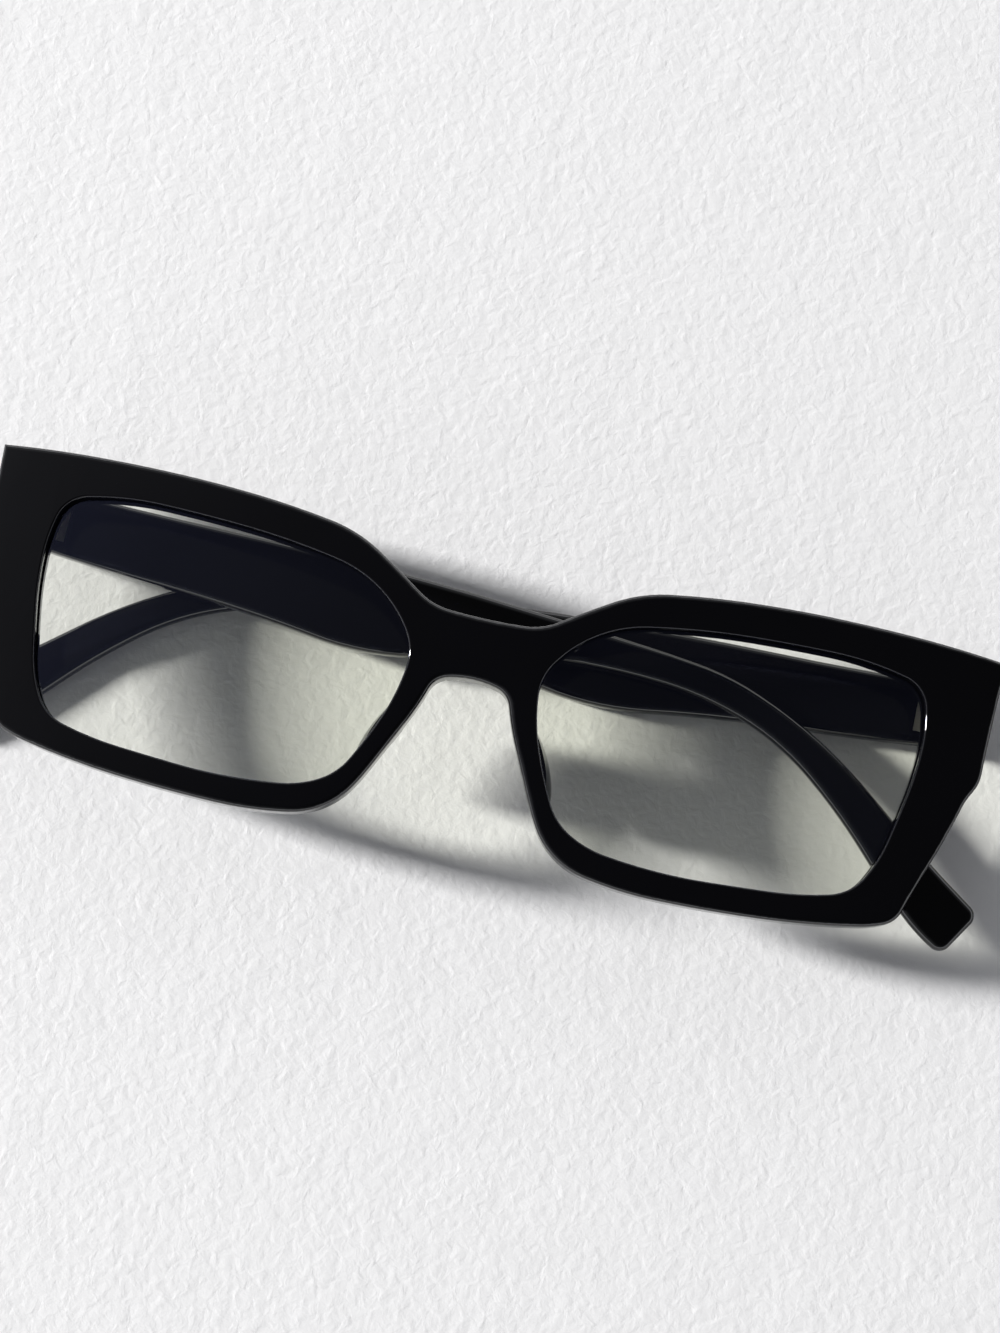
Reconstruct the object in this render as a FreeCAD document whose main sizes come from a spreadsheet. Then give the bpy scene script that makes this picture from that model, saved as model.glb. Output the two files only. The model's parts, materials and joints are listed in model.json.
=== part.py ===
"""Rectangular eyeglasses with a one-piece plastic front and two folding temples.

Millimetres. The glasses lie face up on their folded temples, as when they are put down on a table: +Z is up, out
of the table, +X runs along the front to the wearer's left and +Y to the front's top edge.

Every piece is first drawn in one of two frames:
  the front's frame, with its origin at the middle of the bridge on the front face, and
  a temple's frame, with its origin on the hinge axis, X along the temple, Y up and Z to the wearer's head.
Placements then fold the temples and lay the whole on its lower temple.
"""
import FreeCAD, Part
import Sketcher  # makes sketches known to the document
import math
import os

os.makedirs("parts", exist_ok=True)
doc = FreeCAD.newDocument("eyeglasses")
Vec = FreeCAD.Vector

# Driving dimensions. Each alias is a cell of the sheet that the objects read.
DIMENSIONS = {
    "front_radius": 500.0,
    "front_thickness": 4.0,
    "rim_round": 0.8,
    "opening_round": 0.3,
    "lens_lip": 0.5,
    "lens_thickness": 1.8,
    "lens_seat": 1.1,
    "groove_gap": 0.03,
    "hinge_x": 65.6,
    "hinge_y": 9.4,
    "hinge_z": -9.8,
    "end_block_inner": 61.8,
    "end_block_outer": 70.2,
    "end_block_bottom": 4.9,
    "end_block_top": 14.0,
    "end_block_front": -6.5,
    "recess_margin": 0.1,
    "screw_head_room": 1.0,
    "knuckle_radius": 1.2,
    "knuckle_height": 1.08,
    "knuckle_gap": 0.05,
    "leaf_thickness": 0.9,
    "leaf_height": 5.6,
    "front_leaf_length": 3.7,
    "temple_leaf_length": 5.0,
    "leaf_start": 0.25,
    "leaf_gap": 0.03,
    "screw_radius": 0.7,
    "screw_gap": 0.03,
    "screw_head_radius": 1.05,
    "screw_head_height": 0.6,
    "screw_slot_width": 0.3,
    "screw_slot_depth": 0.3,
    "stud_radius": 0.45,
    "stud_length": 1.6,
    "stud_spacing": 3.2,
    "front_stud_inset": 2.6,
    "temple_stud_inset": 3.4,
    "temple_thickness": 3.4,
    "temple_taper": 0.0066,
    "temple_round": 1.1,
    "tip_round": 1.7,
    "wire_radius": 0.6,
    "wire_depth": 2.45,
    "wire_start": 8.0,
    "wire_bend_radius": 40.0,
    "open_splay": 5.0,
    "fold_right": 1.14,
    "fold_left": -1.52,
}

# Half outlines of the front, in its own frame: x from the bridge's middle, y up, and the heading there in degrees.
TOP_EDGE = [(0, 6.8, 0), (9.7, 8.6, 35), (23.5, 15.7, 10), (45, 17.8, 2), (70.8, 17.3, -5)]
LOWER_EDGE = [(70.8, 17.3, -94), (70.1, 1.5, -91), (68.2, -3.8, -106), (62.8, -19.3, -109), (57.7, -22.5, -168),
              (30, -25.3, 181), (12.5, -19.4, 122), (10.0, -14.6, 115), (5.5, -4.2, 107), (0, -1.7, 180)]
LENS_EDGE = [(61.2, 3.0, 88), (57.3, 12.0, 168), (36, 12.4, 184), (10.4, 3.0, 236), (9.1, -1.8, 275),
             (13.8, -15.9, 298), (22.3, -21.0, 353), (36, -21.4, 4), (52.6, -19.3, 15), (59.0, -10.6, 77),
             (61.2, 3.0, 88)]

# Outline of a temple, in its own frame: distance from the hinge axis, height over the hinge's middle and heading.
TEMPLE_TOP = [(0, 4.8, -3), (52, 3.3, -3), (84.7, 0.8, -5), (104.5, -2.8, -22), (139.5, -26.3, -34)]
TEMPLE_LOW = [(135.4, -32.7, 154), (122, -20.9, 133), (102.1, -6.6, 161), (79.3, -4.0, 182), (41.8, -8.2, 171),
              (0, -4.0, 173)]

# Sections of a nose pad from the rim's back to its free face: (depth, centre x, centre y, half width, half height)
PAD_SECTIONS = [(-3.0, 9.6, -9.4, 1.5, 5.6), (-5.6, 10.1, -9.9, 1.9, 6.0), (-8.0, 10.8, -10.5, 1.7, 5.7),
                (-9.2, 11.1, -10.8, 0.9, 4.8)]
PAD_LEAN_DEGREES = 25.8

# Route of the wire inside a temple: start height, corner of the ear bend and end.
WIRE_START_HEIGHT = -0.05
WIRE_CORNER = (104.2, -2.2)
WIRE_END = (133.6, -26.6)

# How far a shape that cuts another runs past it, and how long and tall it has to be to pass a whole temple or front.
MARGIN = 5.0
PAST_TEMPLE = 200.0
PAST_FRONT = 80.0
PRISM_ABOVE = 4.0
PRISM_BELOW = 14.0

# A turn in radians under which an arc is a straight line, and a length that counts as nothing.
STRAIGHT = 1e-4
TINY = 0.01
TIP_START = 130.0
SHORTEST_OUTLINE_EDGE = 0.3

# Knuckle places along a hinge, counted from the middle one.
FRONT_HINGE_KNUCKLES = (-2, 0, 2)
TEMPLE_HINGE_KNUCKLES = (-1, 1)
SIDES = {"right": -1, "left": 1}


def make_sheet():
    """The driving dimensions as cells with names."""
    sheet = doc.addObject("Spreadsheet::Sheet", "Sizes")
    for row, (name, value) in enumerate(DIMENSIONS.items(), start=1):
        sheet.set(f"A{row}", name)
        sheet.set(f"B{row}", str(value))
        sheet.setAlias(f"B{row}", name)
    doc.recompute()
    return sheet


SIZES = make_sheet()


def size(name):
    return float(SIZES.get(name))


def bind(obj, **expressions):
    """Binds properties of obj to cells of the sheet."""
    for name, expression in expressions.items():
        obj.setExpression(name, expression)
    return obj


def direction(degrees):
    angle = math.radians(degrees)
    return Vec(math.cos(angle), math.sin(angle), 0)


def arc_from(start, tangent, end):
    """Arc that leaves start along tangent and ends at end, and its direction there."""
    chord = end - start
    half_turn = math.atan2(tangent.x * chord.y - tangent.y * chord.x, tangent.dot(chord))
    if abs(half_turn) < STRAIGHT:
        return Part.LineSegment(start, end), tangent
    normal = Vec(-tangent.y, tangent.x, 0)
    radius = chord.Length / (2 * math.sin(half_turn))
    middle = start + (normal * (1 - math.cos(half_turn)) + tangent * math.sin(half_turn)) * radius
    leaving = tangent * math.cos(2 * half_turn) + normal * math.sin(2 * half_turn)
    return Part.Arc(start, middle, end), leaving


def tangent_arcs(nodes):
    """Smooth chain through nodes (x, y, heading): two arcs between each pair, tangent wherever they join."""
    curves = []
    for (x0, y0, first), (x1, y1, last) in zip(nodes, nodes[1:]):
        start, end = Vec(x0, y0, 0), Vec(x1, y1, 0)
        leave, arrive = direction(first), direction(last)
        chord = end - start
        both = leave + arrive
        bend = 1 - leave.dot(arrive)
        if bend < STRAIGHT ** 2:
            arm = chord.dot(chord) / (2 * chord.dot(both))
        else:
            along = chord.dot(both)
            arm = (math.sqrt(along ** 2 + 2 * bend * chord.dot(chord)) - along) / (2 * bend)
        joint = (start + end + (leave - arrive) * arm) * 0.5
        curve, tangent = arc_from(start, leave, joint)
        curves.append(curve)
        curve, tangent = arc_from(joint, tangent, end)
        curves.append(curve)
    return curves


def line(a, b):
    return Part.LineSegment(Vec(a[0], a[1], 0), Vec(b[0], b[1], 0))


def mirrored(nodes):
    """Nodes mirrored in the Y axis, in the same order."""
    return [(-x, y, 180 - heading) for x, y, heading in nodes]


def other_half(nodes):
    """Nodes of the mirrored half, run backwards so that it leads into the first node."""
    return [(-x, y, -heading) for x, y, heading in reversed(nodes)]


def polygon(points):
    return [line(a, b) for a, b in zip(points, points[1:] + points[:1])]


def loose_sketch(name, curves):
    """A sketch on the XY plane that Part objects extrude."""
    sketch = doc.addObject("Sketcher::SketchObject", name)
    sketch.addGeometry(curves, False)
    return sketch


def origin_plane(body, role):
    for feature in body.Origin.OriginFeatures:
        if feature.Role == role:
            return feature
    raise RuntimeError(f"{body.Label} has no {role}")


def body_sketch(body, name, role, curves):
    sketch = body.newObject("Sketcher::SketchObject", name)
    sketch.AttachmentSupport = [(origin_plane(body, role), "")]
    sketch.MapMode = "FlatFace"
    sketch.addGeometry(curves, False)
    doc.recompute()
    return sketch


def prism_of(name, source):
    """Prism of a sketch along Z that runs past both faces of the front."""
    prism = doc.addObject("Part::Extrusion", name)
    prism.Base = source
    prism.DirMode = "Custom"
    prism.Dir = Vec(0, 0, 1)
    prism.LengthFwd = PRISM_ABOVE
    prism.LengthRev = PRISM_BELOW
    prism.Solid = True
    return prism


def boolean(kind, name, base, tool):
    result = doc.addObject(kind, name)
    result.Base = base
    result.Tool = tool
    return result


def fuse_all(name, shapes):
    result = doc.addObject("Part::MultiFuse", name)
    result.Shapes = shapes
    return result


def cut(name, base, tool):
    return boolean("Part::Cut", name, base, tool)


def box(name, low, high):
    """Box between two corners, each a triple of expressions or numbers."""
    result = doc.addObject("Part::Box", name)
    for axis, side, a, b in zip("xyz", ("Length", "Width", "Height"), low, high):
        result.setExpression(side, f"({b}) - ({a})")
        result.setExpression(f"Placement.Base.{axis}", f"{a}")
    return result


def upright_cylinder(name, radius, height, x, y, z):
    """Cylinder along +Y that starts at (x, y, z); the sizes are expressions or numbers."""
    result = doc.addObject("Part::Cylinder", name)
    result.Placement = FreeCAD.Placement(Vec(), FreeCAD.Rotation(Vec(1, 0, 0), -90))
    bind(result, Radius=radius, Height=f"{height}")
    for axis, value in zip("xyz", (x, y, z)):
        result.setExpression(f"Placement.Base.{axis}", f"{value}")
    return result


def curve_cylinder(name, radius):
    """Cylinder about the upright axis that the front is curved around."""
    return upright_cylinder(name, radius, PAST_FRONT, "0", -PAST_FRONT / 2, "-Sizes.front_radius")


def curved_shell(name, outer, inner):
    """Shell between two radii about the axis that the front is curved around."""
    return cut(name, curve_cylinder(f"{name}_outer", outer), curve_cylinder(f"{name}_inner", inner))


def lens_blank(name, side, grow):
    """A lens, or with grow the room that it takes in the rim."""
    nodes = LENS_EDGE if side > 0 else other_half(LENS_EDGE)
    outline = loose_sketch(f"{name}_outline", tangent_arcs(nodes))
    edge = doc.addObject("Part::Offset2D", f"{name}_edge")
    edge.Source = outline
    bind(edge, Value=f"Sizes.lens_lip + {grow}")
    prism = prism_of(f"{name}_prism", edge)
    outer = f"Sizes.front_radius - Sizes.lens_seat + {grow}"
    inner = f"Sizes.front_radius - Sizes.lens_seat - Sizes.lens_thickness - {grow}"
    shell = curved_shell(f"{name}_shell", outer, inner)
    return boolean("Part::Common", name, prism, shell)


def numbered_edges(shape, wanted):
    """Numbers of the edges for which wanted(edge) is true."""
    return [number for number, edge in enumerate(shape.Edges, start=1) if wanted(edge)]


def rounded(name, base, wanted, radius):
    doc.recompute()
    result = doc.addObject("Part::Fillet", name)
    result.Base = base
    result.Edges = [(number, radius, radius) for number in numbered_edges(base.Shape, wanted)]
    return result


def make_front():
    """Curved slab of the front's outline, with the lens openings and grooves, end blocks and hinge recesses."""
    top = other_half(TOP_EDGE) + TOP_EDGE[1:]
    low = LOWER_EDGE + other_half(LOWER_EDGE)[1:]
    outline = loose_sketch("front_outline", tangent_arcs(top) + tangent_arcs(low))
    prism = prism_of("front_prism", outline)
    shell = curved_shell("front_shell", "Sizes.front_radius", "Sizes.front_radius - Sizes.front_thickness")
    slab = boolean("Part::Common", "front_slab", prism, shell)

    def on_rim(edge):
        ends = [vertex.Point for vertex in edge.Vertexes]
        return abs(ends[0].x - ends[-1].x) > TINY or abs(ends[0].y - ends[-1].y) > TINY

    slab = rounded("front_slab_round", slab, on_rim, size("rim_round"))
    blocks = [end_block(name, side) for name, side in SIDES.items()]
    solid = fuse_all("front_with_blocks", [slab] + blocks)
    for name, side in SIDES.items():
        nodes = LENS_EDGE if side > 0 else other_half(LENS_EDGE)
        opening = loose_sketch(f"opening_{name}_sketch", tangent_arcs(nodes))
        solid = cut(f"front_open_{name}", solid, prism_of(f"opening_{name}", opening))
        solid = softened_opening(name, solid, nodes)
        solid = cut(f"front_groove_{name}", solid, lens_blank(f"groove_{name}", side, "Sizes.groove_gap"))
        solid = cut(f"front_recess_{name}", solid, hinge_recess(name, side))
    return solid


def softened_opening(name, solid, nodes):
    """The front with the front edge of one lens opening rounded."""
    curves = tangent_arcs(nodes)
    corners = [curve.StartPoint for curve in curves]
    radius = size("front_radius")

    def at_corner(point):
        return any(math.hypot(point.x - corner.x, point.y - corner.y) < TINY for corner in corners)

    def on_front_edge(edge):
        ends = [vertex.Point for vertex in edge.Vertexes]
        on_face = all(abs(math.hypot(point.x, point.z + radius) - radius) < TINY for point in ends)
        return on_face and all(at_corner(point) for point in ends)

    return rounded(f"front_soft_{name}", solid, on_front_edge, size("opening_round"))


def outward(side, inner, outer):
    """Lower and higher x of a span that runs outwards from inner to outer on one side of the front."""
    ends = (f"{side} * ({inner})", f"{side} * ({outer})")
    return ends if side > 0 else ends[::-1]


def end_block(name, side):
    """Thicker end piece behind the front's upper corner, which carries the hinge."""
    first, last = outward(side, "Sizes.end_block_inner", "Sizes.end_block_outer")
    low = (first, "Sizes.end_block_bottom", "Sizes.hinge_z")
    high = (last, "Sizes.end_block_top", "Sizes.end_block_front")
    return box(f"end_block_{name}", low, high)


def hinge_recess(name, side):
    """Room for the front hinge half and the screw's head, open at the back and towards the lens."""
    inner = "Sizes.end_block_inner - Sizes.recess_margin"
    first, last = outward(side, inner, "Sizes.hinge_x + Sizes.knuckle_radius")
    half = "Sizes.leaf_height / 2"
    low = (first, f"Sizes.hinge_y - {half}", "Sizes.hinge_z - Sizes.knuckle_radius")
    top = "Sizes.hinge_z + Sizes.knuckle_radius + Sizes.leaf_thickness"
    high = (last, f"Sizes.hinge_y + {half} + Sizes.screw_head_room", top)
    return box(f"hinge_recess_{name}", low, high)


def knuckle_span(place):
    """Lowest y of the knuckle at a place, over the hinge's middle, as an expression."""
    step = "(Sizes.knuckle_height + Sizes.knuckle_gap)"
    return f"{place} * {step} - Sizes.knuckle_height / 2"


def hinge_leaf(name, side, places, folded, x, y, z, length):
    """Leaf with its knuckles. folded is +1 where the leaf lies over the axis (in the front) and -1 under it."""
    begin = 0 if folded > 0 else "Sizes.leaf_start"
    start, end = (begin, length) if side > 0 else (f"-({length})", f"-({begin})")
    radius = "Sizes.knuckle_radius"
    if folded > 0:
        low, high = f"({z}) + {radius}", f"({z}) + {radius} + Sizes.leaf_thickness"
    else:
        low, high = f"({z}) - {radius} - Sizes.leaf_thickness", f"({z}) - {radius}"
    pieces = [
        box(
            f"{name}_leaf",
            (f"({x}) + ({start})", f"({y}) - Sizes.leaf_height / 2", low),
            (f"({x}) + ({end})", f"({y}) + Sizes.leaf_height / 2", high),
        )
    ]
    for number, place in enumerate(places, start=1):
        bottom = f"({y}) + ({knuckle_span(place)})"
        pieces.append(
            upright_cylinder(f"{name}_knuckle_{number}", radius, "Sizes.knuckle_height", x, bottom, z)
        )
        neck_x = (x, f"({x}) + {radius}") if side > 0 else (f"({x}) - {radius}", x)
        neck_z = (z, low) if folded > 0 else (high, z)
        pieces.append(
            box(
                f"{name}_neck_{number}",
                (neck_x[0], bottom, neck_z[0]),
                (neck_x[1], f"{bottom} + Sizes.knuckle_height", neck_z[1]),
            )
        )
    solid = fuse_all(f"{name}_solid", pieces)
    bore_radius = "Sizes.screw_radius + Sizes.screw_gap"
    bore = upright_cylinder(f"{name}_bore", bore_radius, 2 * MARGIN, x, f"({y}) - {MARGIN}", z)
    return cut(name, solid, bore)


def make_studs(name, x, y, z, up):
    """The two blind studs that hold a leaf in the plastic, each a node of its own."""
    studs = {}
    for place, label in ((1, "upper"), (-1, "lower")):
        stud = doc.addObject("Part::Cylinder", f"{name}_{label}")
        bind(stud, Radius="Sizes.stud_radius", Height="Sizes.stud_length")
        base = z if up else f"({z}) - Sizes.stud_length"
        stud.setExpression("Placement.Base.x", x)
        stud.setExpression("Placement.Base.y", f"({y}) + {place} * Sizes.stud_spacing / 2")
        stud.setExpression("Placement.Base.z", base)
        studs[f"{name}_{label}"] = stud
    return studs


def make_screw(name, side):
    """Slotted hinge screw along the axis, with its head over the top knuckle."""
    x, y, z = f"{side} * Sizes.hinge_x", "Sizes.hinge_y", "Sizes.hinge_z"
    span = "(2.5 * Sizes.knuckle_height + 2 * Sizes.knuckle_gap)"
    shank = upright_cylinder(f"{name}_shank", "Sizes.screw_radius", f"2 * {span}", x, f"{y} - {span}", z)
    head = upright_cylinder(
        f"{name}_head", "Sizes.screw_head_radius", "Sizes.screw_head_height", x, f"{y} + {span}", z
    )
    solid = fuse_all(f"{name}_solid", [shank, head])
    top = f"{y} + {span} + Sizes.screw_head_height"
    half = "Sizes.screw_slot_width / 2"
    slot = box(
        f"{name}_slot",
        (f"{x} - Sizes.screw_head_radius", f"{top} - Sizes.screw_slot_depth", f"{z} - {half}"),
        (f"{x} + Sizes.screw_head_radius", top, f"{z} + {half}"),
    )
    return cut(name, solid, slot)


def ellipse_wire(depth, x, y, half_width, half_height, side):
    """Upright oval section of a nose pad that leans outwards at its foot."""
    curve = Part.Ellipse(Vec(0, half_height, 0), Vec(half_width, 0, 0), Vec(0, 0, 0))
    wire = Part.Wire([curve.toShape()])
    wire.rotate(Vec(0, 0, 0), Vec(0, 0, 1), side * PAD_LEAN_DEGREES)
    wire.translate(Vec(side * x, y, depth))
    return wire


def make_pad(name, side):
    """Nose pad: a fin lofted back from the nose side of the rim, cut to the rim's curved back."""
    wires = [ellipse_wire(*section, side) for section in PAD_SECTIONS]
    fin = doc.addObject("Part::Feature", f"{name}_fin")
    fin.Shape = Part.makeLoft(wires, True, False)
    behind = curve_cylinder(f"{name}_behind", "Sizes.front_radius - Sizes.front_thickness")
    return boolean("Part::Common", name, fin, behind)


def temple_curves(side):
    top, low = TEMPLE_TOP, TEMPLE_LOW
    if side < 0:
        top, low = mirrored(top), mirrored(low)
    return tangent_arcs(top) + [line(top[-1], low[0])] + tangent_arcs(low) + [line(low[-1], top[0])]


def pocket(body, name, points):
    """Cut of a polygon on the XZ plane through the whole body; fails if nothing is removed."""
    sketch = body_sketch(body, f"{name}_sketch", "XZ_Plane", polygon(points))
    before = body.Shape.Volume
    feature = body.newObject("PartDesign::Pocket", name)
    feature.Profile = sketch
    feature.Type = "ThroughAll"
    feature.Midplane = True
    doc.recompute()
    if body.Shape.Volume > before - TINY:
        raise RuntimeError(f"{name} cuts nothing")
    return feature


def body_fillet(body, name, wanted, radius):
    """Rounds the wanted edges of the body's last feature."""
    base = body.Tip
    edges = [f"Edge{number}" for number in numbered_edges(base.Shape, wanted)]
    soft = body.newObject("PartDesign::Fillet", name)
    soft.Base = (base, edges)
    bind(soft, Radius=radius)
    doc.recompute()
    return soft


def make_temple_body(name, side):
    """Temple drawn with PartDesign: outline padded to its thickness, outer face tapered, front end mitred."""
    body = doc.addObject("PartDesign::Body", f"{name}_body")
    outline = body_sketch(body, f"{name}_outline", "XY_Plane", temple_curves(side))
    pad = body.newObject("PartDesign::Pad", f"{name}_pad")
    pad.Profile = outline
    pad.Reversed = True
    bind(pad, Length="Sizes.knuckle_radius + Sizes.temple_thickness")
    doc.recompute()
    inner = -size("knuckle_radius")
    outer = inner - size("temple_thickness")
    near, far, below = side * -MARGIN, side * PAST_TEMPLE, outer - MARGIN
    taper = size("temple_taper")
    wedge = [(near, below), (near, outer - MARGIN * taper), (far, outer + PAST_TEMPLE * taper), (far, below)]
    pocket(body, f"{name}_taper_cut", wedge)
    pocket(body, f"{name}_inner_cut", [(near, inner), (far, inner), (far, MARGIN), (near, MARGIN)])
    start = side * size("screw_gap")
    splay = side * below * math.tan(math.radians(size("open_splay")))
    mitre = [(near, MARGIN), (start, MARGIN), (start, 0), (start - splay, below), (near, below)]
    pocket(body, f"{name}_mitre_cut", mitre)

    def tip_corner(edge):
        bounds = edge.BoundBox
        return bounds.XLength < TINY and bounds.YLength < TINY and abs(edge.CenterOfMass.x) > TIP_START

    def along(edge):
        """Whether an edge follows the outline, so that it is longer along it than through the thickness."""
        bounds = edge.BoundBox
        through = size("temple_thickness") / 2
        return bounds.ZLength < through and min(bounds.XLength, bounds.YLength) > SHORTEST_OUTLINE_EDGE

    body_fillet(body, f"{name}_tip_round", tip_corner, "Sizes.tip_round")
    body_fillet(body, f"{name}_round", along, "Sizes.temple_round")
    return body


def wire_route(side):
    """Centre line of the wire: two straight runs joined by one tangent arc."""
    depth = -size("wire_depth")
    start = Vec(side * size("wire_start"), WIRE_START_HEIGHT, depth)
    corner = Vec(side * WIRE_CORNER[0], WIRE_CORNER[1], depth)
    end = Vec(side * WIRE_END[0], WIRE_END[1], depth)
    before = (start - corner).normalize()
    after = (end - corner).normalize()
    half = before.getAngle(after) / 2
    radius = size("wire_bend_radius")
    leg = radius / math.tan(half)
    first, last = corner + before * leg, corner + after * leg
    centre = corner + (before + after).normalize() * (radius / math.sin(half))
    middle = centre + (corner - centre).normalize() * radius
    edges = [
        Part.LineSegment(start, first).toShape(),
        Part.Arc(first, middle, last).toShape(),
        Part.LineSegment(last, end).toShape(),
    ]
    return Part.Wire(edges), start, before


def make_wire(name, side):
    """Round core wire swept along its route inside the temple."""
    route, start, direction = wire_route(side)
    circle = Part.Wire([Part.Circle(start, direction, size("wire_radius")).toShape()])
    feature = doc.addObject("Part::Feature", name)
    feature.Shape = route.makePipeShell([circle], True, False)
    whole = math.pi * size("wire_radius") ** 2 * route.Length
    print(f"{name}: volume {feature.Shape.Volume:.2f}, section times length {whole:.2f}")
    return feature


def make_temple(name, side, wire):
    """Temple with the bore of its wire and the recess of its hinge leaf."""
    body = make_temple_body(name, side)
    first, last = outward(side, -MARGIN, "Sizes.temple_leaf_length + Sizes.leaf_gap")
    half = "(Sizes.leaf_height / 2 + Sizes.leaf_gap)"
    low = (first, f"-{half}", "-Sizes.knuckle_radius - Sizes.leaf_thickness")
    recess = box(f"{name}_recess", low, (last, half, "0"))
    solid = cut(f"{name}_recessed", body, recess)
    solid = cut(f"{name}_bored", solid, wire)
    return solid


def stud_holes(name, base, studs):
    """base without the room of its studs."""
    tool = fuse_all(f"{name}_stud_room", list(studs.values()))
    return cut(name, base, tool)


def fold_placement(side, fold):
    """Placement of a temple's frame in the front's frame. fold is the lift of the temple's tip in degrees."""
    hinge = Vec(side * size("hinge_x"), size("hinge_y"), size("hinge_z"))
    return FreeCAD.Placement(hinge, FreeCAD.Rotation(Vec(0, 1, 0), side * fold))


def lying_placement():
    """Placement that lays the outer face of the lower temple on the plane z = 0."""
    fold = size("fold_left")
    taper = math.degrees(math.atan(size("temple_taper")))
    turn = FreeCAD.Placement(Vec(), FreeCAD.Rotation(Vec(0, 1, 0), -fold - taper))
    outer = Vec(0, 0, -size("knuckle_radius") - size("temple_thickness"))
    point = turn.multVec(fold_placement(SIDES["left"], fold).multVec(outer))
    lift = FreeCAD.Placement(Vec(0, 0, -point.z), FreeCAD.Rotation())
    return lift.multiply(turn)


def build_front():
    """All nodes of the front, in its own frame."""
    nodes = {}
    front = make_front()
    y, z = "Sizes.hinge_y", "Sizes.hinge_z"
    leaf_back = f"{z} + Sizes.knuckle_radius + Sizes.leaf_thickness"
    for name, side in SIDES.items():
        x = f"{side} * Sizes.hinge_x"
        nodes[f"lens_{name}"] = lens_blank(f"lens_{name}", side, "0")
        nodes[f"nose_pad_{name}"] = make_pad(f"nose_pad_{name}", side)
        nodes[f"front_hinge_{name}"] = hinge_leaf(
            f"front_hinge_{name}", -side, FRONT_HINGE_KNUCKLES, 1, x, y, z, "Sizes.front_leaf_length"
        )
        stud_x = f"{side} * (Sizes.hinge_x - Sizes.front_stud_inset)"
        studs = make_studs(f"front_stud_{name}", stud_x, y, leaf_back, True)
        nodes.update(studs)
        front = stud_holes(f"front_studded_{name}", front, studs)
        nodes[f"hinge_screw_{name}"] = make_screw(f"hinge_screw_{name}", side)
    nodes["front_frame"] = front
    return nodes


def build_temple(name, side):
    """All nodes of one temple, in its own frame. side is the way that it runs along X when it is folded."""
    wire = make_wire(f"core_wire_{name}", side)
    hinge = hinge_leaf(
        f"temple_hinge_{name}", side, TEMPLE_HINGE_KNUCKLES, -1, "0", "0", "0", "Sizes.temple_leaf_length"
    )
    stud_x = f"{side} * Sizes.temple_stud_inset"
    studs = make_studs(f"temple_stud_{name}", stud_x, "0", "-Sizes.knuckle_radius - Sizes.leaf_thickness", False)
    nodes = {f"core_wire_{name}": wire, f"temple_hinge_{name}": hinge, **studs}
    temple = make_temple(f"temple_{name}", side, wire)
    nodes[f"temple_{name}"] = stud_holes(f"temple_{name}_final", temple, studs)
    return nodes


def check(nodes):
    """Stops if any object failed or any node is not one valid closed solid."""
    doc.recompute()
    for obj in doc.Objects:
        if "Invalid" in obj.State or "Error" in obj.State:
            raise RuntimeError(f"{obj.Label} failed: {obj.State}")
    for name, obj in nodes.items():
        shape = obj.Shape
        if shape.isNull() or not shape.isValid() or len(shape.Solids) != 1:
            raise RuntimeError(f"{name} is not one valid solid: {len(shape.Solids)}")


def placed(nodes, placement):
    """Copies of the nodes' shapes, moved to the frame of the whole."""
    shapes = {}
    for name, obj in nodes.items():
        shape = obj.Shape.copy()
        shape.Placement = placement.multiply(shape.Placement)
        shapes[name] = shape
    return shapes


def write(name, shape):
    """Adds a finished piece under its own label and writes its file."""
    piece = doc.addObject("Part::Feature", f"node_{name}")
    piece.Label = name
    piece.Shape = shape
    piece.Shape.exportStep(f"parts/{name}.step")


def main():
    lying = lying_placement()
    groups = [(build_front(), lying)]
    for name, side in SIDES.items():
        fold = fold_placement(side, size(f"fold_{name}"))
        groups.append((build_temple(name, -side), lying.multiply(fold)))
    shapes = {}
    for nodes, placement in groups:
        check(nodes)
        shapes.update(placed(nodes, placement))
    bounds = FreeCAD.BoundBox()
    for shape in shapes.values():
        bounds.add(shape.optimalBoundingBox(False, False))
    shift = Vec(-bounds.Center.x, -bounds.Center.y, 0)
    for name, shape in shapes.items():
        shape.translate(shift)
        write(name, shape)
    print("size", [round(length, 2) for length in (bounds.XLength, bounds.YLength, bounds.ZLength)])
    for name, side in SIDES.items():
        hinge = Vec(side * size("hinge_x"), size("hinge_y"), size("hinge_z"))
        print("hinge", name, lying.multVec(hinge) + shift)


main()
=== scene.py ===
"""Rectangular plastic eyeglasses lying face up on their folded temples.

The glossy plastic and the coated lenses are finished here around the fixed frame of the glasses.
"""
import json
import math

import bmesh
import bpy
from mathutils import Matrix, Vector


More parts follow.
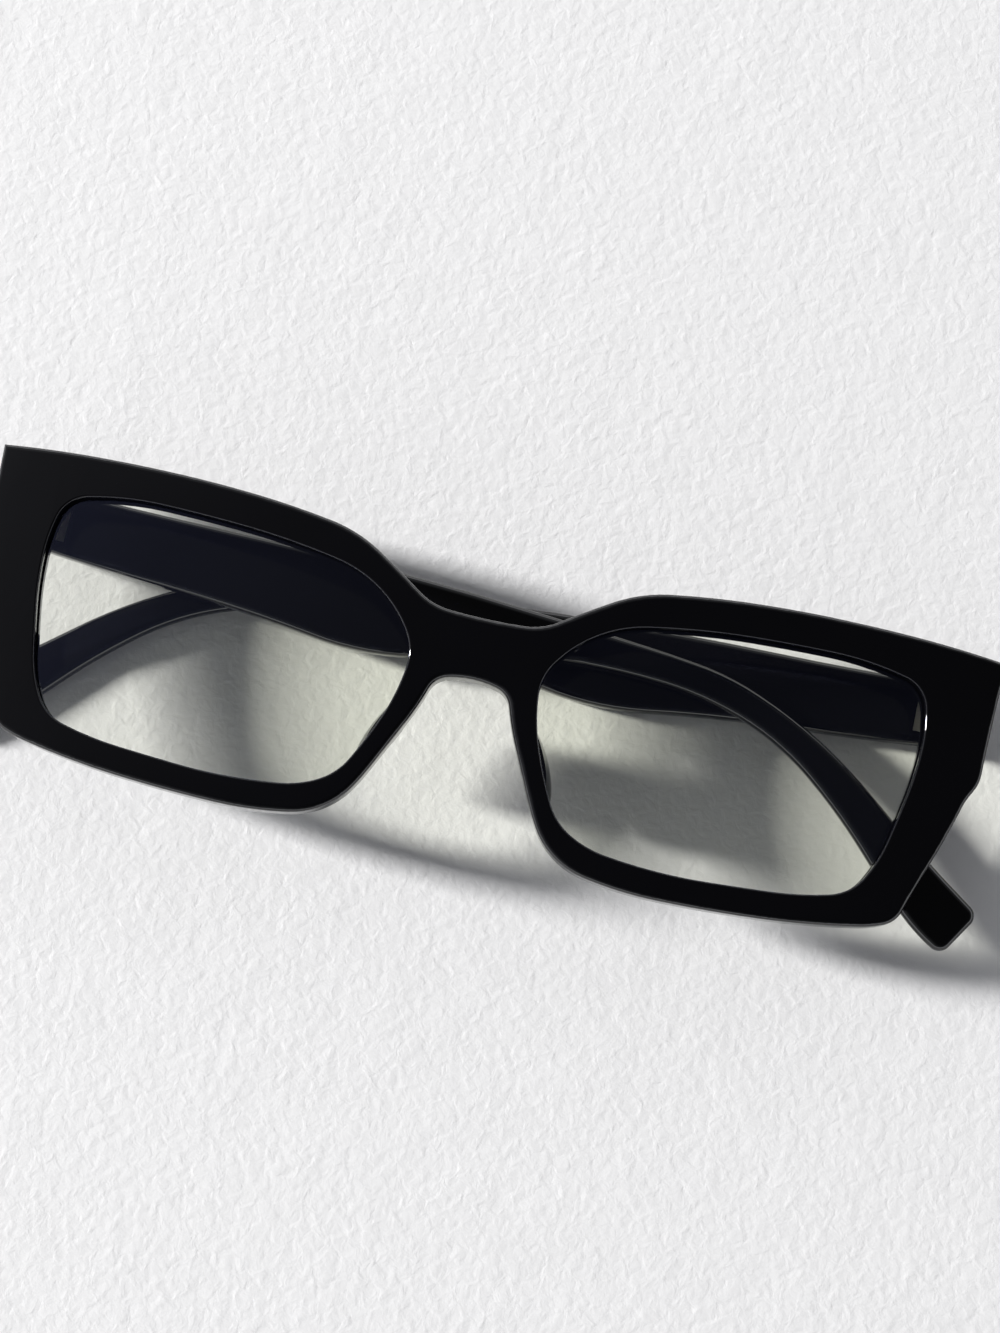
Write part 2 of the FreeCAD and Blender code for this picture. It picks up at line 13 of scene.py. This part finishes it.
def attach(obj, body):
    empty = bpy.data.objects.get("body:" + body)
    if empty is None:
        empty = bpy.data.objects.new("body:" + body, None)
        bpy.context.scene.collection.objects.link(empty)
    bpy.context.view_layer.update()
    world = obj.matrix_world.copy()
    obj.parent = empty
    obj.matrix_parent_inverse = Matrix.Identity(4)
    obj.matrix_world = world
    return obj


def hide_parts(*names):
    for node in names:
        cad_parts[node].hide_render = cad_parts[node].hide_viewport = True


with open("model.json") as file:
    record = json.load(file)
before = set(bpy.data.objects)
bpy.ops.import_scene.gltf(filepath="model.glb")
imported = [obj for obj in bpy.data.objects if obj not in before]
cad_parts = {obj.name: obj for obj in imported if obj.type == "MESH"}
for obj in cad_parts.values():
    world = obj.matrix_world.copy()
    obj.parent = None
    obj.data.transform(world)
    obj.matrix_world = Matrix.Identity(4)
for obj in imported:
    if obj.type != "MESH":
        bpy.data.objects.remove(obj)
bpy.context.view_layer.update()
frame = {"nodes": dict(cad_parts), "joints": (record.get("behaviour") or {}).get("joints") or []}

bl_info = {
    "name": "Folded Eyeglasses",
    "version": (1, 0, 0),
    "blender": (4, 5, 0),
    "location": "View3D > Sidebar > Eyeglasses",
    "description": "Finishes a pair of folded plastic eyeglasses and lights them on a plastered table",
    "category": "Add Mesh",
}

MM = 0.001
SIDES = ("right", "left")

# The photograph's framing: its width and focal length in pixels, and the sensor's width in millimetres.
IMAGE_WIDTH = 1000
FOCAL_PIXELS = 2400.0
SENSOR_WIDTH = 36.0

# The camera against the front: its turn as a rotation vector in degrees, its place in millimetres,
# and the nearest and farthest that it sees in metres.
CAMERA_TURN = (-10.61, -0.47, -12.59)
CAMERA_PLACE = (3.273, 0.0, 322.2)
CAMERA_CLIP = (0.01, 20.0)

# The front on the table: its tilt about Y in degrees, how far the bridge's face stands above the hinges
# and how far the hinges stand above the middle of the bridge along the front, both in millimetres.
FRONT_TILT = 1.1419
BRIDGE_HEIGHT_OVER_HINGES = 9.8
HINGE_HEIGHT_ON_FRONT = 9.4

# Roughness of each surface.
FRONT_ROUGHNESS = 0.035
TEMPLE_ROUGHNESS = 0.045
PAD_ROUGHNESS = 0.08
HINGE_ROUGHNESS = 0.28
SCREW_ROUGHNESS = 0.16
COATING_ROUGHNESS = 0.01
PLASTER_ROUGHNESS = 0.95

# Polish of each stuff: the roughness that hairlines add, the relief's strength and the waves in a metre.
PLASTIC_POLISH = {"haze": 0.05, "relief": 0.25, "waves": 70.0}
STEEL_POLISH = {"haze": 0.25, "relief": 0.5, "waves": 400.0}
LENS_POLISH = {"haze": 0.02, "relief": 0.05, "waves": 40.0}

# Waves of any polish: their depth in metres, the roughness that they add and their noise's detail.
WAVE_DEPTH = 0.00002
WAVE_ROUGHNESS = 0.03
WAVE_DETAIL = 2.0

# Hairlines of any polish: how many there are in a metre along each axis, their turn about Z in radians,
# their noise's detail, and the noise from which they begin to show and show in full.
HAIRLINE_DENSITY = (900.0, 5200.0, 2600.0)
HAIRLINE_TURN = 0.5
HAIRLINE_DETAIL = 3.0
HAIRLINE_BEGINS = 0.62
HAIRLINE_FULL = 0.8

# How strongly each stuff bends light.
PLASTIC_IOR = 1.49
LENS_IOR = 1.5
COATING_IOR = 1.9

# What a base colour is multiplied by where it clouds, wears or varies.
PLASTIC_CLOUD = 1.6
LENS_CLOUD = 0.985
STEEL_WEAR = 0.7
PLASTER_DARK = 0.97
PLASTER_LIGHT = 1.02

# The plaster: fine grit, broad bumps that are fewer by the given share and add to its height,
# the relief's strength and its depth in metres, and how little it shines.
GRIT_DETAIL = 4.0
GRIT_DISTORTION = 0.4
BROAD_SHARE = 0.22
BROAD_DETAIL = 2.0
BROAD_HEIGHT = 0.8
PLASTER_RELIEF = 0.4
PLASTER_DEPTH = 0.00026
PLASTER_SHINE = 0.1

# The softbox: its distance in metres, its direction in degrees, its width and height in metres,
# its power in watts and its colour.
SOFTBOX_DISTANCE = 5.0
SOFTBOX_ELEVATION = 20.0
SOFTBOX_AZIMUTH = 177.0
SOFTBOX_SIZE = (0.5, 0.9)
SOFTBOX_POWER = 560.0
SOFTBOX_COLOUR = (1.0, 0.99, 0.975)

# The room is darkest nearly overhead. It brightens between two cosines of the angle away from there.
DARK_DIRECTION = (0.30, -0.15, 0.94)
DARK_EDGE = 0.92
BRIGHT_EDGE = 0.25
DARK_STRENGTH = 0.04
ROOM_STRENGTH = 0.45
ROOM_COLOUR = (0.95, 0.965, 1.0)

# Pale walls run round the horizon. They fade out between these sines of the angle above it.
WALL_FULL = 0.12
WALL_TOP = 0.24
WALL_STRENGTH = 2.2


class GlassesSizes(bpy.types.PropertyGroup):
    """Sizes of the finish."""

    merge_distance: bpy.props.FloatProperty(
        name="Merge distance", description="How near two vertices are when they are one",
        default=0.000002, subtype="DISTANCE", unit="LENGTH")
    sharp_angle: bpy.props.FloatProperty(
        name="Sharp angle", description="Edges that turn more than this stay crisp",
        default=math.radians(38), subtype="ANGLE", unit="ROTATION")
    table_size: bpy.props.FloatProperty(
        name="Table size", description="Side of the square table top",
        default=12.0, subtype="DISTANCE", unit="LENGTH")
    grain_size: bpy.props.FloatProperty(
        name="Plaster grain", description="Size of the bumps of the plastered table",
        default=0.0016, subtype="DISTANCE", unit="LENGTH")


class GlassesColours(bpy.types.PropertyGroup):
    """Colours of the finish."""

    plastic: bpy.props.FloatVectorProperty(
        name="Plastic", description="Colour of the polished plastic",
        subtype="COLOR", size=3, default=(0.0012, 0.0012, 0.0018), min=0, max=1)
    lens_tint: bpy.props.FloatVectorProperty(
        name="Lens tint", description="Colour that the lens gives to what is behind it",
        subtype="COLOR", size=3, default=(0.985, 0.99, 0.95), min=0, max=1)
    coating: bpy.props.FloatVectorProperty(
        name="Coating", description="Colour of the coating's reflection",
        subtype="COLOR", size=3, default=(0.52, 0.57, 1.0), min=0, max=1)
    steel: bpy.props.FloatVectorProperty(
        name="Steel", description="Colour of the hinges",
        subtype="COLOR", size=3, default=(0.60, 0.59, 0.57), min=0, max=1)
    table: bpy.props.FloatVectorProperty(
        name="Table", description="Colour of the plastered table",
        subtype="COLOR", size=3, default=(0.84, 0.84, 0.85), min=0, max=1)


def sizes():
    """The sizes that a user sets in the panel."""
    return bpy.context.scene.glasses_sizes


def colours():
    """The colours that a user sets in the panel."""
    return bpy.context.scene.glasses_colours


def opaque(colour):
    """A colour with full alpha."""
    return (*colour, 1.0)


def add_node(tree, kind, inputs, **settings):
    """New node with its settings, each input fed by another node's output or a plain value."""
    node = tree.nodes.new(kind)
    for name, value in settings.items():
        setattr(node, name, value)
    for key, source in inputs.items():
        if isinstance(source, bpy.types.NodeSocket):
            tree.links.new(source, node.inputs[key])
        else:
            node.inputs[key].default_value = source
    return node


def blend(tree, amount, first, second):
    """Colour that goes from the first to the second with the amount."""
    inputs = {"Factor": amount, "A": opaque(first), "B": opaque(second)}
    return add_node(tree, "ShaderNodeMix", inputs, data_type="RGBA").outputs["Result"]


def calculate(tree, operation, *operands):
    """Value worked out from other nodes' outputs and plain numbers."""
    inputs = dict(enumerate(operands))
    return add_node(tree, "ShaderNodeMath", inputs, operation=operation).outputs["Value"]


def polish_group():
    """Polishing waves and hairline scratches: a roughness and a bump height that change over the surface."""
    found = bpy.data.node_groups.get("polished_surface")
    if found:
        return found
    group = bpy.data.node_groups.new("polished_surface", "ShaderNodeTree")
    for name in ("Base Roughness", "Haze", "Waves"):
        group.interface.new_socket(name, in_out="INPUT", socket_type="NodeSocketFloat")
    for name in ("Roughness", "Height", "Mask"):
        group.interface.new_socket(name, in_out="OUTPUT", socket_type="NodeSocketFloat")
    given = group.nodes.new("NodeGroupInput").outputs
    place = group.nodes.new("ShaderNodeTexCoord").outputs["Object"]

    noise = {"Vector": place, "Scale": given["Waves"], "Detail": WAVE_DETAIL}
    waves = add_node(group, "ShaderNodeTexNoise", noise).outputs["Fac"]

    mapping = {"Vector": place, "Scale": HAIRLINE_DENSITY, "Rotation": (0.0, 0.0, HAIRLINE_TURN)}
    stretched = add_node(group, "ShaderNodeMapping", mapping).outputs["Vector"]
    noise = {"Vector": stretched, "Scale": 1.0, "Detail": HAIRLINE_DETAIL}
    streaks = add_node(group, "ShaderNodeTexNoise", noise).outputs["Fac"]
    narrow = {"Value": streaks, "From Min": HAIRLINE_BEGINS, "From Max": HAIRLINE_FULL}
    hairlines = add_node(group, "ShaderNodeMapRange", narrow).outputs["Result"]

    hazy = calculate(group, "MULTIPLY_ADD", hairlines, given["Haze"], given["Base Roughness"])
    roughness = calculate(group, "MULTIPLY_ADD", waves, WAVE_ROUGHNESS, hazy)
    add_node(group, "NodeGroupOutput", {"Roughness": roughness, "Height": waves, "Mask": hairlines})
    return group


def new_material(name):
    """Material with only a Principled shader and its output."""
    material = bpy.data.materials.new(name)
    material.use_nodes = True
    tree = material.node_tree
    tree.nodes.clear()
    shader = tree.nodes.new("ShaderNodeBsdfPrincipled")
    output = add_node(tree, "ShaderNodeOutputMaterial", {"Surface": shader.outputs["BSDF"]})
    return material, shader, output


def add_relief(tree, shader, height, strength, depth):
    """Bumps from a height that changes over the surface."""
    inputs = {"Strength": strength, "Distance": depth, "Height": height}
    relief = add_node(tree, "ShaderNodeBump", inputs)
    tree.links.new(relief.outputs["Normal"], shader.inputs["Normal"])


def add_polish(tree, shader, roughness, polish):
    """Puts the polished surface into a material and returns its outputs."""
    inputs = {"Base Roughness": roughness, "Haze": polish["haze"], "Waves": polish["waves"]}
    surface = add_node(tree, "ShaderNodeGroup", inputs, node_tree=polish_group()).outputs
    tree.links.new(surface["Roughness"], shader.inputs["Roughness"])
    add_relief(tree, shader, surface["Height"], polish["relief"], WAVE_DEPTH)
    return surface


def plastic_material(name, roughness):
    """Polished black plastic whose colour clouds very slightly in its depth."""
    material, shader, _ = new_material(name)
    tree = material.node_tree
    surface = add_polish(tree, shader, roughness, PLASTIC_POLISH)
    base = Vector(colours().plastic)
    clouded = blend(tree, surface["Height"], base, base * PLASTIC_CLOUD)
    tree.links.new(clouded, shader.inputs["Base Color"])
    shader.inputs["IOR"].default_value = PLASTIC_IOR
    return material


def steel_material(name, roughness):
    """Nickel-plated steel with drawn hairlines."""
    material, shader, _ = new_material(name)
    tree = material.node_tree
    surface = add_polish(tree, shader, roughness, STEEL_POLISH)
    base = Vector(colours().steel)
    worn = blend(tree, surface["Mask"], base, base * STEEL_WEAR)
    tree.links.new(worn, shader.inputs["Base Color"])
    shader.inputs["Metallic"].default_value = 1.0
    return material


def lens_material():
    """Clear tinted lens that lets light straight through, under a coating with a blue-violet reflection.

    The Principled shader keeps the plain values of a clear lens. The shaders after it are the ones seen.
    """
    material, shader, output = new_material("coated_lens")
    tree = material.node_tree
    surface = add_polish(tree, shader, 0.0, LENS_POLISH)
    base = Vector(colours().lens_tint)
    tint = blend(tree, surface["Height"], base, base * LENS_CLOUD)
    tree.links.new(tint, shader.inputs["Base Color"])
    shader.inputs["Transmission Weight"].default_value = 1.0
    shader.inputs["IOR"].default_value = LENS_IOR

    # Light goes straight through. The outer faces mirror too, more so at a grazing angle.
    clear = add_node(tree, "ShaderNodeBsdfTransparent", {"Color": tint}).outputs["BSDF"]
    gloss = {"Color": opaque(colours().coating), "Roughness": COATING_ROUGHNESS}
    mirror = add_node(tree, "ShaderNodeBsdfGlossy", gloss).outputs["BSDF"]
    grazing = add_node(tree, "ShaderNodeFresnel", {"IOR": COATING_IOR}).outputs["Fac"]
    inside = tree.nodes.new("ShaderNodeNewGeometry").outputs["Backfacing"]
    outside = calculate(tree, "SUBTRACT", 1.0, inside)
    reflecting = calculate(tree, "MULTIPLY", grazing, outside)
    seen = add_node(tree, "ShaderNodeMixShader", {"Fac": reflecting, 1: clear, 2: mirror})

    # Shadow rays meet no mirror, so the lens only tints the light on the table.
    shadow_ray = tree.nodes.new("ShaderNodeLightPath").outputs["Is Shadow Ray"]
    lens = add_node(tree, "ShaderNodeMixShader", {"Fac": shadow_ray, 1: seen.outputs["Shader"], 2: clear})
    tree.links.new(lens.outputs["Shader"], output.inputs["Surface"])
    return material


def plaster_material():
    """Matt white plaster with soft rounded bumps and fine grit."""
    material, shader, _ = new_material("white_plaster")
    tree = material.node_tree
    place = tree.nodes.new("ShaderNodeTexCoord").outputs["Object"]
    grains = 1 / sizes().grain_size
    noise = {"Vector": place, "Scale": grains, "Detail": GRIT_DETAIL, "Distortion": GRIT_DISTORTION}
    grit = add_node(tree, "ShaderNodeTexNoise", noise).outputs["Fac"]
    noise = {"Vector": place, "Scale": grains * BROAD_SHARE, "Detail": BROAD_DETAIL}
    broad = add_node(tree, "ShaderNodeTexNoise", noise).outputs["Fac"]
    height = calculate(tree, "MULTIPLY_ADD", broad, BROAD_HEIGHT, grit)
    add_relief(tree, shader, height, PLASTER_RELIEF, PLASTER_DEPTH)
    base = Vector(colours().table)
    tone = blend(tree, broad, base * PLASTER_DARK, base * PLASTER_LIGHT)
    tree.links.new(tone, shader.inputs["Base Color"])
    shader.inputs["Roughness"].default_value = PLASTER_ROUGHNESS
    shader.inputs["Specular IOR Level"].default_value = PLASTER_SHINE
    return material


def give(piece, material):
    """Makes the material the piece's only one."""
    piece.data.materials.clear()
    piece.data.materials.append(material)


def smooth_copy(node, name, body):
    """Piece made of a node's mesh with its loose triangles joined and its rounded faces shaded smooth."""
    mesh = frame["nodes"][node].data.copy()
    mesh.name = name
    shape = bmesh.new()
    shape.from_mesh(mesh)
    bmesh.ops.remove_doubles(shape, verts=shape.verts, dist=sizes().merge_distance)
    bmesh.ops.dissolve_degenerate(shape, edges=shape.edges, dist=sizes().merge_distance)
    for face in shape.faces:
        face.smooth = True
    for edge in shape.edges:
        edge.smooth = edge.is_manifold and edge.calc_face_angle(0) < sizes().sharp_angle
    shape.to_mesh(mesh)
    shape.free()
    mesh.update()
    piece = bpy.data.objects.new(name, mesh)
    bpy.context.collection.objects.link(piece)
    piece.modifiers.new("face_weighted_normals", "WEIGHTED_NORMAL").keep_sharp = True
    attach(piece, body)
    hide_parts(node)
    return piece


class GLASSES_OT_front(bpy.types.Operator):
    """Make the polished front and its two nose pads"""

    bl_idname = "glasses.front"
    bl_label = "Front and nose pads"

    def execute(self, context):
        plastic = plastic_material("polished_front", FRONT_ROUGHNESS)
        give(smooth_copy("front_frame", "polished_front", "front"), plastic)
        pad = plastic_material("polished_pad", PAD_ROUGHNESS)
        for side in SIDES:
            give(smooth_copy(f"nose_pad_{side}", f"polished_pad_{side}", "front"), pad)
        return {"FINISHED"}


class GLASSES_OT_temples(bpy.types.Operator):
    """Make the two polished temples"""

    bl_idname = "glasses.temples"
    bl_label = "Temples"

    def execute(self, context):
        plastic = plastic_material("polished_temple", TEMPLE_ROUGHNESS)
        for side in SIDES:
            node = f"temple_{side}"
            give(smooth_copy(node, f"polished_temple_{side}", node), plastic)
        return {"FINISHED"}


class GLASSES_OT_lenses(bpy.types.Operator):
    """Make the two coated lenses"""

    bl_idname = "glasses.lenses"
    bl_label = "Lenses"

    def execute(self, context):
        glass = lens_material()
        for side in SIDES:
            give(smooth_copy(f"lens_{side}", f"coated_lens_{side}", "front"), glass)
        return {"FINISHED"}


class GLASSES_OT_hinges(bpy.types.Operator):
    """Finish the metal of the hinges, screws, studs and core wires"""

    bl_idname = "glasses.hinges"
    bl_label = "Hinges and wires"

    def execute(self, context):
        satin = steel_material("satin_hinge_steel", HINGE_ROUGHNESS)
        bright = steel_material("bright_screw_steel", SCREW_ROUGHNESS)
        for name, node in frame["nodes"].items():
            if "screw" in name:
                give(node, bright)
            elif "hinge" in name or "stud" in name or "core_wire" in name:
                give(node, satin)
        return {"FINISHED"}


class GLASSES_OT_stage(bpy.types.Operator):
    """Make the plastered table, the softbox, the dim room and the camera"""

    bl_idname = "glasses.stage"
    bl_label = "Table, light and camera"

    def execute(self, context):
        make_table()
        make_softbox()
        make_room()
        make_camera()
        return {"FINISHED"}


def make_table():
    """Square table top that the glasses lie on."""
    shape = bmesh.new()
    bmesh.ops.create_grid(shape, x_segments=1, y_segments=1, size=sizes().table_size / 2)
    mesh = bpy.data.meshes.new("table_top")
    shape.to_mesh(mesh)
    shape.free()
    table = bpy.data.objects.new("table_top", mesh)
    bpy.context.collection.objects.link(table)
    give(table, plaster_material())


def make_softbox():
    """A tall softbox low on the wearer's right."""
    lamp = bpy.data.lights.new("tall_softbox", "AREA")
    lamp.shape = "RECTANGLE"
    lamp.size, lamp.size_y = SOFTBOX_SIZE
    lamp.energy = SOFTBOX_POWER
    lamp.color = SOFTBOX_COLOUR
    elevation = math.radians(SOFTBOX_ELEVATION)
    azimuth = math.radians(SOFTBOX_AZIMUTH)
    towards = Vector((math.cos(azimuth), math.sin(azimuth), 0)) * math.cos(elevation)
    towards.z = math.sin(elevation)
    softbox = bpy.data.objects.new("tall_softbox", lamp)
    softbox.location = towards * SOFTBOX_DISTANCE
    softbox.rotation_mode = "QUATERNION"
    softbox.rotation_quaternion = (-towards).to_track_quat("-Z", "Y")
    bpy.context.collection.objects.link(softbox)


def make_room():
    """The world's light: dark overhead, brighter to the sides, with pale walls low down."""
    world = bpy.data.worlds.new("dim_room")
    world.use_nodes = True
    tree = world.node_tree
    direction = tree.nodes.new("ShaderNodeTexCoord").outputs["Generated"]

    towards_dark = {0: direction, 1: Vector(DARK_DIRECTION).normalized()}
    cosine = add_node(tree, "ShaderNodeVectorMath", towards_dark, operation="DOT_PRODUCT")
    fall = {"Value": cosine.outputs["Value"], "From Min": DARK_EDGE, "From Max": BRIGHT_EDGE,
            "To Min": DARK_STRENGTH, "To Max": ROOM_STRENGTH}
    room = add_node(tree, "ShaderNodeMapRange", fall, interpolation_type="SMOOTHSTEP")

    height = add_node(tree, "ShaderNodeSeparateXYZ", {"Vector": direction}).outputs["Z"]
    band = {"Value": height, "From Min": WALL_TOP, "From Max": WALL_FULL,
            "To Min": 0.0, "To Max": WALL_STRENGTH}
    walls = add_node(tree, "ShaderNodeMapRange", band, interpolation_type="SMOOTHSTEP")

    total = calculate(tree, "ADD", room.outputs["Result"], walls.outputs["Result"])
    background = tree.nodes["Background"]
    background.inputs["Color"].default_value = opaque(ROOM_COLOUR)
    tree.links.new(total, background.inputs["Strength"])
    bpy.context.scene.world = world


def joint_place(side):
    """Where a temple turns, in metres."""
    for joint in frame["joints"]:
        if joint["name"] == f"temple_{side}_fold":
            return Vector(joint["pos_m"])
    raise RuntimeError(f"no joint for the {side} temple")


def front_matrix():
    """The front's place and tilt on the table, measured from the middle of the bridge's face."""
    middle = (joint_place("right") + joint_place("left")) / 2
    tilt = Matrix.Rotation(math.radians(FRONT_TILT), 4, "Y")
    bridge = tilt @ Vector((0, -HINGE_HEIGHT_ON_FRONT * MM, BRIDGE_HEIGHT_OVER_HINGES * MM))
    return Matrix.Translation(middle + bridge) @ tilt


def make_camera():
    """The camera looks at the front as in the photograph."""
    turn_vector = Vector([math.radians(angle) for angle in CAMERA_TURN])
    turn = Matrix.Rotation(turn_vector.length, 4, turn_vector.normalized())
    place = turn.inverted() @ Matrix.Translation(Vector(CAMERA_PLACE) * MM)
    data = bpy.data.cameras.new("camera")
    data.sensor_fit = "HORIZONTAL"
    data.sensor_width = SENSOR_WIDTH
    data.lens = FOCAL_PIXELS / IMAGE_WIDTH * SENSOR_WIDTH
    data.clip_start, data.clip_end = CAMERA_CLIP
    camera = bpy.data.objects.new("camera", data)
    camera.matrix_world = front_matrix() @ place
    bpy.context.collection.objects.link(camera)
    bpy.context.scene.camera = camera


class GLASSES_PT_panel(bpy.types.Panel):
    """Sidebar panel that lists the sizes, the colours and the pieces"""

    bl_label = "Eyeglasses"
    bl_idname = "GLASSES_PT_panel"
    bl_space_type = "VIEW_3D"
    bl_region_type = "UI"
    bl_category = "Eyeglasses"

    def draw(self, context):
        layout = self.layout
        for group in (context.scene.glasses_sizes, context.scene.glasses_colours):
            box = layout.box()
            for name in group.bl_rna.properties.keys():
                if name not in {"rna_type", "name"}:
                    box.prop(group, name)
        for operator in OPERATORS:
            layout.operator(operator.bl_idname)


OPERATORS = (GLASSES_OT_front, GLASSES_OT_temples, GLASSES_OT_lenses, GLASSES_OT_hinges, GLASSES_OT_stage)
CLASSES = (GlassesSizes, GlassesColours, *OPERATORS, GLASSES_PT_panel)


def register():
    for cls in CLASSES:
        bpy.utils.register_class(cls)
    bpy.types.Scene.glasses_sizes = bpy.props.PointerProperty(type=GlassesSizes)
    bpy.types.Scene.glasses_colours = bpy.props.PointerProperty(type=GlassesColours)


def unregister():
    del bpy.types.Scene.glasses_colours
    del bpy.types.Scene.glasses_sizes
    for cls in reversed(CLASSES):
        bpy.utils.unregister_class(cls)


def main():
    register()
    bpy.context.scene.view_settings.view_transform = "Standard"
    bpy.ops.glasses.front()
    bpy.ops.glasses.temples()
    bpy.ops.glasses.lenses()
    bpy.ops.glasses.hinges()
    bpy.ops.glasses.stage()


if __name__ == "__main__":
    main()
